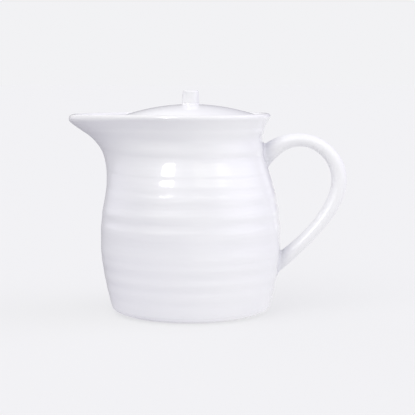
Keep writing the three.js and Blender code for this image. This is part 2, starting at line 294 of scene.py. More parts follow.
rim_line = arc(rim_centre, rim_round, -rim_lean, 180, rim_steps)[1:]
tip_line = arc(tip_centre, lip_edge_round, lip_slope - 90, lip_slope + 90, rim_steps)[1:]
over_rim = np.sin(np.linspace(0, math.pi, rim_steps + 1)[1:]) ** 2
add_stations(rim_line, tip_line, thin=over_rim)

throat_radius = neck_radius - wall_thickness
ledge_height, ledge_radius = rim_height - ledge_drop, throat_radius + ledge_width
ledge_line = softened(
    [rim_line[-1], (ledge_radius, ledge_height), (throat_radius + ledge_slant / 2, ledge_height),
     (throat_radius, ledge_height - ledge_slant), (throat_radius, neck_height)],
    reach=ledge_soft,
)
ledge_lip = at_share(channel_line, keel_shares, ledge_in_channel)
ledge_lip = softened([tip_line[-1], *ledge_lip], reach=ledge_soft)
ledge_bare = (np.abs(ledge_line[1:, 1] - ledge_height) < ledge_soft) * 1.0
add_stations(ledge_line[1:], ledge_lip[1:], bare=ledge_bare)
print(f"rim and ledge: {rim_steps + len(ledge_line) - 1} stations")

# %% [markdown]
# Below the ledge, the channel comes back to the round wall, and from there down the inside is
# plainly turned: the wall, a round corner and the floor.

# %% Section: inside
floor_thickness, floor_corner, rejoin_from = 5.4, 9.0, 0.6
throat_steps, inside_steps, corner_steps, floor_points = 34, 30, 10, 7
down = np.linspace(0, 1, throat_steps + 1)[1:]
throat_round = at_height(inner_wall, neck_height + (lip_start_height - neck_height) * down)
throat_lip = at_share(channel_line, keel_shares, ledge_in_channel[-1] * (1 - down))
rejoin = smooth((down - rejoin_from) / (1 - rejoin_from))[:, None]
add_stations(throat_round, throat_lip * (1 - rejoin) + throat_round * rejoin)

floor_height = foot_recess + floor_thickness
inside_heights = np.linspace(lip_start_height, floor_height + floor_corner, inside_steps + 1)[1:]
inside_line = at_height(inner_wall, inside_heights)
corner_line = arc(inside_line[-1] - [floor_corner, 0], floor_corner, 0, -90, corner_steps)
floor_line = np.linspace(corner_line[-1], (0, floor_height), floor_points)
add_stations(join(inside_line, corner_line, floor_line))
jug_section = {name: np.concatenate(rows) for name, rows in section.items()}
print(f"section: {len(jug_section['round'])} stations in all")

# %% [markdown]
# Turning the section gives circles of points, with a pole on the axis at both ends. A Screw
# modifier turns one outline only, and the lip needs another at every angle. Every outline runs up
# the outside, so one order of the corners makes all faces point outwards. The same helper makes
# the lid and the knob.

# %% Helpers that turn a section into a mesh


def new_object(name, data):
    obj = bpy.data.objects.new(name, data)
    bpy.context.scene.collection.objects.link(obj)
    return obj


def set_mark(mesh, mark, values):
    layer = mesh.attributes.new(mark, "FLOAT", "POINT")
    layer.data.foreach_set("value", values.astype(np.float32))


def turned_mesh(name, circles, marks):
    """A closed mesh from circles of points. The first and the last are poles on the axis."""
    count, columns = circles.shape[:2]
    points = np.concatenate([circles[0, :1], circles[1:-1].reshape(-1, 3), circles[-1, :1]]) * MM
    last = len(points) - 1
    step = np.arange(columns)
    onward = (step + 1) % columns
    row = (1 + columns * np.arange(count - 3))[:, None]
    above = row + columns
    quads = np.stack([row + step, row + onward, above + onward, above + step], axis=-1)
    top = last - columns
    fans = np.concatenate([
        np.stack([np.zeros_like(step), 1 + onward, 1 + step], axis=1),
        np.stack([np.full_like(step, last), top + step, top + onward], axis=1),
    ])
    mesh = bpy.data.meshes.new(name)
    mesh.from_pydata(points.tolist(), [], quads.reshape(-1, 4).tolist() + fans.tolist())
    mesh.polygons.foreach_set("use_smooth", np.ones(len(mesh.polygons), bool))
    for mark, rows in marks.items():
        set_mark(mesh, mark, np.concatenate([rows[0, :1], rows[1:-1].reshape(-1), rows[-1, :1]]))
    return mesh


def swing(line, angles):
    """Circles of points: a line of radii and heights at every angle round the jug's axis."""
    radius, height = line[..., 0], line[..., 1]
    x = axis_x - radius * np.cos(angles)
    y = -radius * np.sin(angles)
    return np.stack(np.broadcast_arrays(x, y, height), axis=-1)


def all_round(values, columns):
    return np.repeat(values[:, None], columns, axis=1)


print("turning helpers ready")

# %% [markdown]
# Now the section swings round the axis. The columns stand closer together round the lip, where the
# wall bends most. The finger that pulled the lip wiped most of the rings away there, and the bare
# ledge ends where the lip begins.

# %% The jug before its rings
jug_columns, lip_crowding, side_crowding = 264, 0.45, 0.14
lip_spread, lip_tip_round, lip_sharpness = 70.0, 0.3, 2.4
finger_wipe, bare_until = 0.7, 0.3
step = np.linspace(0, 2 * math.pi, jug_columns, endpoint=False)
angles = step - lip_crowding * np.sin(step) - side_crowding * np.sin(2 * step)
from_lip = np.abs((angles + math.pi) % (2 * math.pi) - math.pi)
away = np.hypot(np.minimum(from_lip / math.radians(lip_spread), 1), lip_tip_round) - lip_tip_round
pulled = (1 - away / (math.hypot(1, lip_tip_round) - lip_tip_round)) ** lip_sharpness
to_lip = pulled[:, None]
profile = jug_section["round"][:, None] * (1 - to_lip) + jug_section["lip"][:, None] * to_lip
jug_marks = {mark: all_round(jug_section[mark], jug_columns) for mark in MARKS}
for mark in ("ring_weight", "thrown"):
    jug_marks[mark] = jug_marks[mark] * (1 - finger_wipe * pulled)
jug_marks["bare"] = jug_marks["bare"] * (1 - smooth(pulled / bare_until))
jug = new_object("jug_wall", turned_mesh("jug_wall", swing(profile, angles), jug_marks))
print("jug before its rings:", len(jug.data.polygons), "faces")

# %% [markdown]
# One helper adds a node and fills its sockets, with a value or with another node's output. A
# socket knows its tree, so the tree is named only where no socket feeds the node. Short names for
# the common maths let materials and geometry trees read like formulas.

# %% Helpers that build node trees


def is_socket(value):
    return isinstance(value, bpy.types.NodeSocket)


def fill(socket, value):
    if is_socket(value):
        socket.id_data.links.new(value, socket)
    else:
        socket.default_value = value


def add(kind, sockets=None, tree=None, **options):
    """Adds a node to a given tree, or else to the tree of the sockets that feed it."""
    sockets = sockets or {}
    if tree is None:
        tree = next(value for value in sockets.values() if is_socket(value)).id_data
    node = tree.nodes.new(kind)
    for option, value in options.items():
        setattr(node, option, value)
    for key, value in sockets.items():
        fill(node.inputs[key], value)
    return node


def maths(operation, *values, clamp=False):
    sockets = dict(enumerate(values))
    return add("ShaderNodeMath", sockets, operation=operation, use_clamp=clamp).outputs[0]


def times(first, second):
    return maths("MULTIPLY", first, second)


def plus(first, second):
    return maths("ADD", first, second)


def ranged(value, low, high, to_low=0.0, to_high=1.0, kind="LINEAR"):
    sockets = {
        "Value": value, "From Min": low, "From Max": high, "To Min": to_low, "To Max": to_high}
    return add("ShaderNodeMapRange", sockets, interpolation_type=kind).outputs["Result"]


def faded(value, low, high, to_low=0.0, to_high=1.0):
    return ranged(value, low, high, to_low, to_high, "SMOOTHSTEP")


def mixed(factor, first, second):
    node = add("ShaderNodeMix", {"Factor": factor}, data_type="RGBA")
    colours = [socket for socket in node.inputs if socket.type == "RGBA"]
    fill(colours[0], first)
    fill(colours[1], second)
    return next(socket for socket in node.outputs if socket.type == "RGBA")


def noise(place, scale, detail, seed):
    sockets = {"Vector": place, "W": seed, "Scale": scale, "Detail": detail}
    return add("ShaderNodeTexNoise", sockets, noise_dimensions="4D").outputs["Fac"]


print("node helpers ready")

# %% [markdown]
# The glaze is one white coat on every piece, so it is one node group with named inputs. It is never
# quite even: it drifts between a cooler and a warmer white, pools with a touch of blue in the ring
# hollows and at the knob's foot, runs thin over an edge, and has a faint orange peel. The same
# grey-blue tint paints shade into the creases round the handle's roots, where shade falls. The group
# puts out a colour, a roughness and a height for each material's own Principled BSDF.

# %% The glaze as a node group
cloud_detail, cloud_low, cloud_high = 3.0, 0.35, 0.65
swell_fineness, swell_detail, swell_low, swell_high = 5.0, 2.0, 0.3, 0.7
pool_least, peel_detail, peel_height = 0.7, 1.0, 0.15
swell_gloss, gloss_from, gloss_to = 0.5, 0.5, 1.0
smoothest, roughest, thin_roughness = 0.07, 0.13, 0.05


def new_socket(tree, end, label, kind):
    return tree.interface.new_socket(label, in_out=end, socket_type="NodeSocket" + kind)


def kind_of(value):
    if isinstance(value, bpy.types.ID):
        return type(value).__name__
    return {tuple: "Color", int: "Int"}.get(type(value), "Float")


def shader_group(name, inputs):
    group = bpy.data.node_groups.new(name, "ShaderNodeTree")
    for label, value in inputs.items():
        new_socket(group, "INPUT", label, kind_of(value)).default_value = value
    for label, kind in {"Colour": "Color", "Roughness": "Float", "Height": "Float"}.items():
        new_socket(group, "OUTPUT", label, kind)
    return group, add("NodeGroupInput", tree=group).outputs


# The pool tint is the grey-blue of glaze gathered in hollows, and also the colour of the painted
# shade round the handle's roots.
glaze, given = shader_group("glaze_skin", {
    "White": (0.83, 0.83, 0.84, 1), "Cooler White": (0.815, 0.815, 0.83, 1),
    "Pool Tint": (0.61, 0.61, 0.67, 1), "Thin Tint": (0.815, 0.81, 0.81, 1),
    "Pool": 0.0, "Thin": 0.0, "Cloud Scale": 16.0, "Peel Scale": 520.0,
    "Softness": 0.0, "Seed": 1.0,
})
place = add("ShaderNodeTexCoord", tree=glaze).outputs["Object"]
clouds = noise(place, given["Cloud Scale"], cloud_detail, given["Seed"])
drift = faded(clouds, cloud_low, cloud_high)
peel = noise(place, given["Peel Scale"], peel_detail, given["Seed"])
swell = noise(place, times(given["Cloud Scale"], swell_fineness), swell_detail, given["Seed"])
# The pool amount is real glaze gathering in hollows, plus painted shade where a crease mark lies by
# the handle's roots.
pool_and_shade = times(given["Pool"], ranged(swell, swell_low, swell_high, pool_least, 1.0))
colour = mixed(drift, given["White"], given["Cooler White"])
colour = mixed(pool_and_shade, colour, given["Pool Tint"])
colour = mixed(given["Thin"], colour, given["Thin Tint"])
gloss = plus(clouds, times(swell, swell_gloss))
gloss = ranged(gloss, gloss_from, gloss_to, smoothest, roughest)
gloss = plus(gloss, times(given["Thin"], thin_roughness))
gloss = plus(gloss, given["Softness"])
height = plus(times(peel, peel_height), swell)
add("NodeGroupOutput", {"Colour": colour, "Roughness": gloss, "Height": height})
print("glaze group:", len(glaze.nodes), "nodes")

# %% [markdown]
# The potter wipes the glaze off the foot ring and the seat of the lid, or the pot would stick in
# the kiln. There the fired clay shows: matt, a little warm, and grainy. A second group lays it over
# the glaze wherever a mark on the mesh says bare, with an uneven wiped line.

# %% The bare clay as a node group
clay_dark, clay_light = (0.74, 0.71, 0.66, 1), (0.86, 0.84, 0.8, 1)
grain_detail, grain_height, clay_roughness = 3.0, 2.0, 0.7
wipe_coarseness, wipe_detail, wipe_low, wipe_high, wipe_wander = 0.2, 2.0, 0.3, 0.7, 0.3
bare_from, bare_to = 0.45, 0.6
clay, given = shader_group("bare_clay", {
    "Bare": 0.0, "Colour": (0.8, 0.8, 0.8, 1), "Roughness": 0.1, "Height": 0.0,
    "Grain Scale": 900.0, "Seed": 1.0,
})
place = add("ShaderNodeTexCoord", tree=clay).outputs["Object"]
grain = noise(place, given["Grain Scale"], grain_detail, given["Seed"])
wipe = noise(place, times(given["Grain Scale"], wipe_coarseness), wipe_detail, given["Seed"])
wander = ranged(wipe, wipe_low, wipe_high, -wipe_wander, wipe_wander)
bare = faded(plus(given["Bare"], wander), bare_from, bare_to)
colour = mixed(bare, given["Colour"], mixed(grain, clay_dark, clay_light))
rough = plus(given["Roughness"], times(bare, clay_roughness))
height = plus(given["Height"], times(times(grain, bare), grain_height))
add("NodeGroupOutput", {"Colour": colour, "Roughness": rough, "Height": height})
print("clay group:", len(clay.nodes), "nodes")

# %% [markdown]
# Each piece has its own glazed material: the same groups with its own seed, and the marks of its
# mesh that say where glaze gathers, where shade is painted round the handle's roots, and where the
# glaze runs thin or is missing. The handle is a little duller and keeps faint lines from the
# pulling. They are finer than the mesh, so a bump shows them.

# %% Materials for the four pieces
# The two root strengths are painted shade round the handle's roots, where shade falls; the hollow
# strength is glaze that gathers.
hollow_pool, wall_root_shade, strap_root_shade = 0.08, 0.4, 0.6
strap_line_stretch, strap_line_scale, strap_line_detail = (0.0, 0.0, 5.0), 5.0, 2.0
bump_strength, bump_distance, glaze_ior = 0.05, 0.0006, 1.5


def vectors(operation, *values, output=0):
    node = add("ShaderNodeVectorMath", dict(enumerate(values)), operation=operation)
    return node.outputs[output]


def scaled(vector, factor):
    sockets = {"Vector": vector, "Scale": factor}
    return add("ShaderNodeVectorMath", sockets, operation="SCALE").outputs[0]


def empty_tree(owner):
    owner.use_nodes = True
    owner.node_tree.nodes.clear()
    return owner.node_tree


def strap_lines(tree, along, seed):
    round_strap = add("ShaderNodeAttribute", tree=tree, attribute_name="strap_round")
    drawn_out = scaled(strap_line_stretch, along)
    place = vectors("ADD", round_strap.outputs["Vector"], drawn_out)
    return noise(place, strap_line_scale, strap_line_detail, seed)


def glazed(name, pool_and_shade_marks, seed, bare=False, thin=True, line_depth=0.0, **sizes):
    """A glazed material. Pool marks say where glaze gathers or where shade is painted, with
    strengths.
    """
    material = bpy.data.materials.new(name)
    tree = empty_tree(material)

    def mark(label):
        return add("ShaderNodeAttribute", tree=tree, attribute_name=label).outputs["Fac"]

    pools_and_shades = [times(mark(label), strength) for label, strength in pool_and_shade_marks.items()]
    sockets = {"Seed": seed, "Pool": plus(*pools_and_shades) if len(pools_and_shades) == 2 else pools_and_shades[0], **sizes}
    if thin:
        sockets["Thin"] = mark("thin")
    finish = add("ShaderNodeGroup", sockets, node_tree=glaze)
    if bare:
        sockets = {label: finish.outputs[label] for label in ("Colour", "Roughness", "Height")}
        sockets.update({"Seed": seed, "Bare": mark("bare")})
        finish = add("ShaderNodeGroup", sockets, node_tree=clay)
    height = finish.outputs["Height"]
    if line_depth:
        lines = strap_lines(tree, mark("along"), seed)
        height = plus(height, times(lines, line_depth))
    bump = add("ShaderNodeBump", {
        "Strength": bump_strength, "Distance": bump_distance, "Height": height})
    shader = add("ShaderNodeBsdfPrincipled", {
        "Base Color": finish.outputs["Colour"], "Roughness": finish.outputs["Roughness"],
        "Normal": bump.outputs["Normal"], "IOR": glaze_ior})
    add("ShaderNodeOutputMaterial", {"Surface": shader.outputs["BSDF"]})
    return material


jug_glaze = glazed("jug_glaze", {"groove": hollow_pool, "crease": wall_root_shade}, 3.0, bare=True)
handle_glaze = glazed(
    "handle_glaze", {"crease": strap_root_shade}, 11.0, thin=False, line_depth=2.2, Softness=0.32)
# The lid and the knob get a brighter white than the jug: painted light that lifts them to their lit
# tone, not a different glaze.
lid_glaze = glazed(
    "lid_glaze", {"crease": hollow_pool}, 17.0, bare=True, White=(0.87, 0.87, 0.875, 1))
knob_glaze = glazed("knob_glaze", {"crease": hollow_pool}, 23.0, White=(0.9, 0.9, 0.9, 1))
print("materials:", [m.name for m in (jug_glaze, handle_glaze, lid_glaze, knob_glaze)])

# %% [markdown]
# A geometry tree takes a mesh in and puts a mesh out, with named inputs for its sizes. It ends by
# realizing its instances and setting the material, because an export drops instances. The last
# helper puts a tree on an object, sets its inputs by their sockets' identifiers and keeps the
# result as a plain mesh.

# %% Helpers for Geometry Nodes


def geometry_tree(name, sizes):
    tree = bpy.data.node_groups.new(name, "GeometryNodeTree")
    new_socket(tree, "INPUT", "Geometry", "Geometry")
    for label, value in sizes.items():
        new_socket(tree, "INPUT", label, kind_of(value))
    new_socket(tree, "OUTPUT", "Geometry", "Geometry")
    return tree, add("NodeGroupInput", tree=tree).outputs


def position(tree):
    return add("GeometryNodeInputPosition", tree=tree).outputs[0]


def straight_out(place, axis):
    """The level way from the jug's axis to a place."""
    foot = add("ShaderNodeCombineXYZ", {"X": axis}).outputs[0]
    level = vectors("MULTIPLY", vectors("SUBTRACT", place, foot), (1.0, 1.0, 0.0))
    return vectors("NORMALIZE", level)


def mark_of(tree, name):
    node = add("GeometryNodeInputNamedAttribute", {"Name": name}, tree, data_type="FLOAT")
    return node.outputs["Attribute"]


def store_mark(geometry, name, value, kind="FLOAT"):
    sockets = {"Geometry": geometry, "Name": name, "Value": value}
    node = add("GeometryNodeStoreNamedAttribute", sockets, data_type=kind, domain="POINT")
    return node.outputs["Geometry"]


def move(geometry, **how):
    return add("GeometryNodeSetPosition", {"Geometry": geometry, **how}).outputs[0]


def end_tree(geometry, material):
    geometry = add("GeometryNodeRealizeInstances", {"Geometry": geometry}).outputs[0]
    sockets = {"Geometry": geometry, "Material": material}
    add("NodeGroupOutput", {0: add("GeometryNodeSetMaterial", sockets).outputs[0]})


def settle(obj, tree, sizes):
    modifier = obj.modifiers.new(tree.name, "NODES")
    modifier.node_group = tree
    for item in tree.interface.items_tree:
        if item.in_out == "INPUT" and item.name in sizes:
            modifier[item.identifier] = sizes[item.name]
    depsgraph = bpy.context.evaluated_depsgraph_get()
    mesh = bpy.data.meshes.new_from_object(
        obj.evaluated_get(depsgraph), preserve_all_data_layers=True, depsgraph=depsgraph)
    before = obj.data
    obj.modifiers.remove(modifier)
    obj.data = mesh
    mesh.name = obj.name
    bpy.data.meshes.remove(before)


print("geometry helpers ready")

# %% [markdown]
# The fingers leave shallow hollows between soft crests as the wet wall rises, level but a little
# uneven, and drag fine lines round it, deeper in some patches. Torus cuts would be far too crisp.
# The tree reads where each point lies between two crests, moves it inwards along a cosine, lets
# noise with a fixed seed vary the depth, adds the dragged lines, and stores the hollow so that the
# glaze can pool in it.

# %% Throwing rings with Geometry Nodes
patch_detail, patch_low, patch_high = 2.0, 0.3, 0.7
drag_detail, drag_low, drag_high = 2.0, 0.25, 0.75
calm_until, dragged_from, calm_share = 0.35, 0.6, 0.3
ring_inputs = {
    "Depth": ring_depth * MM, "Unevenness": 0.5, "Unevenness Scale": 18.0,
    "Drag Depth": 0.16 * MM, "Drag Pitch": 2.6 * MM, "Drag Turns": 3.0,
    "Axis X": axis_x * MM, "Seed": 5.0, "Glaze": jug_glaze,
}
tree, given = geometry_tree("throwing_rings", ring_inputs)
place = position(tree)
outward = straight_out(place, given["Axis X"])
wave = maths("COSINE", times(mark_of(tree, "ring_turn"), 2 * math.pi))
hollow = maths("MULTIPLY_ADD", wave, -0.5, 0.5)
patchy = noise(place, given["Unevenness Scale"], patch_detail, given["Seed"])
change = times(ranged(patchy, patch_low, patch_high, -1.0, 1.0), given["Unevenness"])
hollow = times(hollow, plus(change, 1.0))
hollow = times(hollow, mark_of(tree, "ring_weight"))
level = add("ShaderNodeSeparateXYZ", {0: place}).outputs["Z"]
level = maths("DIVIDE", level, given["Drag Pitch"])
level = add("ShaderNodeCombineXYZ", {"Z": level}).outputs[0]
drag_place = vectors("ADD", scaled(outward, given["Drag Turns"]), level)
drag = ranged(noise(drag_place, 1.0, drag_detail, given["Seed"]), drag_low, drag_high)
drag = times(drag, mark_of(tree, "thrown"))
drag = times(drag, faded(patchy, calm_until, dragged_from, calm_share, 1.0))
cut = maths("MULTIPLY_ADD", drag, given["Drag Depth"], times(hollow, given["Depth"]))
ringed = store_mark(given["Geometry"], "groove", hollow)
ringed = move(ringed, Offset=scaled(outward, times(cut, -1.0)))
end_tree(ringed, given["Glaze"])
settle(jug, tree, ring_inputs)
print("jug with its rings:", len(jug.data.polygons), "faces")

# %% [markdown]
# The handle is a strap of clay, pulled to an oval and bent like an ear. It leaves the shoulder
# upwards, turns over a crown, falls down the back and runs into the belly. Each point of its middle
# line carries the strap's thickness and width, given at five places from the upper root to the
# lower. A Bezier curve with a bevel would do for a round bar, but a strap changes both sizes.

# %% Middle line of the handle
upper_root_height, upper_root_angle = rim_height - 32.0, 45.0
lower_root_height, lower_root_angle = 38.0, 38.0
handle_back_height, root_sink = rim_height - 50.5, 11.0
upper_sweep, upper_fall, lower_fall, lower_sweep = 36.5, 24.0, 26.0, 10.0
strap_sizes = np.array([[15, 15], [9.8, 15], [11.4, 15], [10, 15], [11.5, 15.5]])
upper_root = at_height(outer_wall, upper_root_height)
lower_root = at_height(outer_wall, lower_root_height)
handle_back = np.array([handle_reach - strap_sizes[2, 0] / 2, handle_back_height])
handle_line = join(
    np.array([upper_root - root_sink * bearing(upper_root_angle), upper_root]),
    stretch(upper_root, upper_root_angle, upper_sweep, handle_back, -90, upper_fall),
    stretch(handle_back, -90, lower_fall, lower_root, lower_root_angle + 180, lower_sweep),
    np.array([lower_root, lower_root - root_sink * bearing(lower_root_angle)]),
)
handle_shares = shares_of(handle_line)
back_share = handle_shares[1 + LINE_STEPS]
size_shares = [0, back_share / 2, back_share, (1 + back_share) / 2, 1]

strap_steps, root_crowding = 300, 0.11
even = np.linspace(0, 1, strap_steps + 1)
strap_shares = even - root_crowding * np.sin(2 * math.pi * even)
strap_places = at_share(handle_line, handle_shares, strap_shares)
interval = np.searchsorted(size_shares, strap_shares, side="right") - 1
interval = np.clip(interval, 0, len(size_shares) - 2)
past_place = strap_shares - np.take(size_shares, interval)
within = smooth(past_place / np.diff(size_shares)[interval])[:, None]
strap_size = strap_sizes[interval] * (1 - within) + strap_sizes[interval + 1] * within
handle_length = np.linalg.norm(np.diff(handle_line, axis=0), axis=1).sum()
print(f"handle: {handle_length:.0f} mm along its middle")

# %% [markdown]
# The joints at the roots are worked out against the wall, and a plain turned block of it is enough
# for that. A second block, set in a little, will cut the roots off just inside the wall. Both are
# thrown away afterwards.

# %% Blocks of the wall
block_columns, block_stride, bed_depth = 240, 8, 1.6


def turn_plain(name, line, columns, marks=None):
    angles = np.linspace(0, 2 * math.pi, columns, endpoint=False)
    spread = {mark: all_round(values, columns) for mark, values in (marks or {}).items()}
    return new_object(name, turned_mesh(name, swing(line[:, None, :], angles), spread))


def wall_block(name, inset):
    side = outer_wall[::block_stride] - [inset, 0]
    closed = np.concatenate([[(0, side[0, 1])], side, [(0, side[-1, 1])]])
    return turn_plain(name, closed, block_columns)


blocks = [wall_block("wall_measure", 0.0), wall_block("wall_bed", bed_depth)]
print("blocks:", [block.name for block in blocks])

# %% [markdown]
# Geometry Nodes sweep the oval along that line. A circle of radius 1 can be pressed towards a
# squarer oval (a squareness of 2 leaves it round), is swept with the half thickness as its scale,
# and then widened sideways. Each point keeps its place on the circle, and the material draws the
# pulled lines along the strap from that.

# %% Strap with Geometry Nodes: the swept oval
strap_inputs = {
    "Wall": blocks[0], "Bed": blocks[1], "Squareness": 2.0, "Sides": 64, "Fillet": 2.4 * MM,
    "Crease Reach": 11.0 * MM, "Axis X": axis_x * MM, "Glaze": handle_glaze,
}
tree, given = geometry_tree("pulled_strap", strap_inputs)
sockets = {"Resolution": given["Sides"], "Radius": 1.0}
circle = add("GeometryNodeCurvePrimitiveCircle", sockets, mode="RADIUS").outputs["Curve"]
on_circle = position(tree)
parts = add("ShaderNodeSeparateXYZ", {0: vectors("ABSOLUTE", on_circle)}).outputs
powers = [maths("POWER", part, given["Squareness"]) for part in (parts[0], parts[1])]
reach = maths("POWER", plus(*powers), maths("DIVIDE", -1.0, given["Squareness"]))
oval = move(circle, Position=scaled(on_circle, reach))
oval = store_mark(oval, "strap_round", on_circle, "FLOAT_VECTOR")
path = add("GeometryNodeMeshToCurve", {"Mesh": given["Geometry"]}).outputs["Curve"]
half_thickness = mark_of(tree, "half_thickness")
sockets = {"Curve": path, "Profile Curve": oval, "Scale": half_thickness, "Fill Caps": True}
strap = add("GeometryNodeCurveToMesh", sockets).outputs["Mesh"]
sockets = {"X": 1.0, "Y": mark_of(tree, "width_ratio"), "Z": 1.0}
sideways = add("ShaderNodeCombineXYZ", sockets).outputs[0]
strap = move(strap, Position=vectors("MULTIPLY", position(tree), sideways))
sockets = {"Geometry": strap, "Shade Smooth": True}
strap = add("GeometryNodeSetShadeSmooth", sockets).outputs[0]
print("swept oval:", len(tree.nodes), "nodes so far")

# %% [markdown]
# Near the wall the strap swells into a small hollow fillet, as joints smoothed with slip do: the
# tree asks how far each point lies from the wall and pushes it aside, out to a quarter circle. A
# boolean cuts the roots off, and the nearness to the wall is kept as a crease mark, which the
# material uses to paint shade on the strap near the roots. A Bevel modifier would need strap and
# wall as one mesh, and they stay two pieces.

# %% Strap with Geometry Nodes: fillet, cut and crease


def mesh_of(thing):
    return add("GeometryNodeObjectInfo", {"Object": thing}).outputs["Geometry"]


def gap_to_wall(tree, given):
    """How far a point lies outside the wall, and the way straight out from the axis."""
    place = position(tree)
    outward = straight_out(place, given["Axis X"])
    near = add("GeometryNodeProximity", {0: mesh_of(given["Wall"])}, target_element="FACES")
    away = vectors("SUBTRACT", place, near.outputs["Position"])
    return vectors("DOT_PRODUCT", away, outward, output="Value"), outward


gap, outward = gap_to_wall(tree, given)
facing = add("GeometryNodeInputNormal", tree=tree).outputs["Normal"]
inwards = scaled(outward, vectors("DOT_PRODUCT", facing, outward, output="Value"))
aside = vectors("NORMALIZE", vectors("SUBTRACT", facing, inwards))
near = maths("SUBTRACT", 1.0, maths("DIVIDE", gap, given["Fillet"]), clamp=True)
bend = maths("SUBTRACT", 1.0, times(near, near), clamp=True)
bend = maths("SUBTRACT", 1.0, maths("SQRT", bend))
strap = move(strap, Offset=scaled(aside, times(bend, given["Fillet"])))
sockets = {"Mesh 1": strap, "Mesh 2": mesh_of(given["Bed"])}
strap = add("GeometryNodeMeshBoolean", sockets, operation="DIFFERENCE", solver="EXACT")
gap, outward = gap_to_wall(tree, given)
# The crease mark stored here paints shade on the strap near the wall.
crease = faded(gap, 0.0, given["Crease Reach"], 1.0, 0.0)
end_tree(store_mark(strap.outputs["Mesh"], "crease", crease), given["Glaze"])
print("strap tree:", len(tree.nodes), "nodes")

# %% [markdown]
# The middle line becomes a mesh of points and edges with the strap's sizes as marks, and the tree
# makes the strap of it.

# %% The handle
path_mesh = bpy.data.meshes.new("handle_strap")
path_points = [((axis_x + r) * MM, 0.0, z * MM) for r, z in strap_places]
path_mesh.from_pydata(path_points, [(i, i + 1) for i in range(strap_steps)], [])
set_mark(path_mesh, "half_thickness", strap_size[:, 0] * MM / 2)
set_mark(path_mesh, "width_ratio", strap_size[:, 1] / strap_size[:, 0])
set_mark(path_mesh, "along", strap_shares * handle_length * MM)
handle = new_object("handle_strap", path_mesh)
settle(handle, tree, strap_inputs)
for block in blocks:
    bpy.data.meshes.remove(block.data)
print(f"handle: {len(handle.data.polygons)} faces")

# %% [markdown]
# Shade is painted on the wall round the two roots as well. A small tree on the jug asks how near
# the strap is, and stores a crease mark on the outside of the wall that fades away from it; the
# material darkens the wall there as painted shade.

# %% Creases round the roots
crease_inputs = {"Strap": handle, "Reach": 8.0 * MM, "Glaze": jug_glaze}
tree, given = geometry_tree("root_creases", crease_inputs)
near = add("GeometryNodeProximity", {0: mesh_of(given["Strap"])}, target_element="FACES")
# The crease mark stored here paints shade on the wall near the strap.
crease = faded(near.outputs["Distance"], 0.0, given["Reach"], 1.0, 0.0)
crease = times(crease, mark_of(tree, "thrown"))
end_tree(store_mark(given["Geometry"], "crease", crease), given["Glaze"])
settle(jug, tree, crease_inputs)
print("jug with its creases:", len(jug.data.polygons), "faces")

# %% [markdown]
# The lid is turned like the jug: a low dome with a rounded edge that sits on the ledge, and under
# it a collar that keeps the lid in the neck while the jug pours. Its outline runs from the middle
# of the underside, down round the collar, out under the seat, round the edge and up over the dome.

# %% Outline of the lid
lid_edge, lid_crown, lid_thickness = 3.6, 9.0, 4.4
collar_clearance, collar_depth, collar_thickness, collar_soft = 1.3, 9.5, 4.0, 0.9
collar_hollow_share, collar_shoulder, collar_run_steps = 0.93, 1.5, 6
edge_end, edge_steps, under_points, dome_points, dome_meet = 62, 14, 20, 60, 4.0
lid_seat = lid_high[2] - lid_crown - lid_edge


def lid_top(radius):
    return lid_seat + lid_edge + lid_crown * (1 - (np.asarray(radius) / lid_radius) ** 2)


collar_radius = throat_radius - collar_clearance
collar_inside, collar_foot = collar_radius - collar_thickness, ledge_height - collar_depth
under_radii = np.linspace(0, collar_inside * collar_hollow_share, under_points)
under_line = np.stack([under_radii, lid_top(under_radii) - lid_thickness], axis=1)
edge_centre = np.array([lid_radius - lid_edge / 2, lid_seat + lid_edge / 2])
collar_line = softened(
    [under_line[-1], (collar_inside, lid_seat - collar_shoulder), (collar_inside, collar_foot),
     (collar_radius, collar_foot), (collar_radius, lid_seat), (edge_centre[0], lid_seat)],
    reach=collar_soft, run_steps=collar_run_steps,
)
edge_line = arc(edge_centre, lid_edge / 2, -90, edge_end, edge_steps)
dome_start = edge_line[-1]
dome_radii = np.linspace(dome_start[0], 0, dome_points)[1:]
dome_line = np.stack([dome_radii, lid_top(dome_radii)], axis=1)
onto_dome = smooth((dome_start[0] - dome_radii) / dome_meet)
dome_line[:, 1] -= (lid_top(dome_start[0]) - dome_start[1]) * (1 - onto_dome)
lid_line = join(under_line, collar_line, edge_line, dome_line)
print(f"lid outline: {len(lid_line)} points, seat at {lid_seat:.1f} mm")

# %% [markdown]
# The seat under the lid's edge is wiped bare, so that it doesn't stick to the ledge in the kiln,
# and the glaze runs thin over the edge itself.

# %% The lid
lid_columns, seat_band, edge_thin_reach, edge_thin_above, edge_thin = 192, 0.4, 1.2, 0.5, 0.6
lid_radii, lid_heights = lid_line.T
on_seat = (np.abs(lid_heights - lid_seat) < seat_band) & (lid_radii > collar_radius + seat_band)
lid_thin = np.exp(-(((lid_radii - lid_radius) / edge_thin_reach) ** 2)) * edge_thin
lid_thin = lid_thin * (lid_heights > lid_seat + edge_thin_above)
lid = turn_plain("lid_dome", lid_line, lid_columns, {"bare": on_seat * 1.0, "thin": lid_thin})
lid.data.materials.append(lid_glaze)
print(f"lid: {len(lid.data.polygons)} faces, top at {lid_heights.max():.1f} mm")

# %% [markdown]
# The knob is a short post with a soft top edge. A small fillet of slip runs out from its foot onto
# the dome, and the glaze gathers there. Its underside lies just inside the dome, so no gap shows.

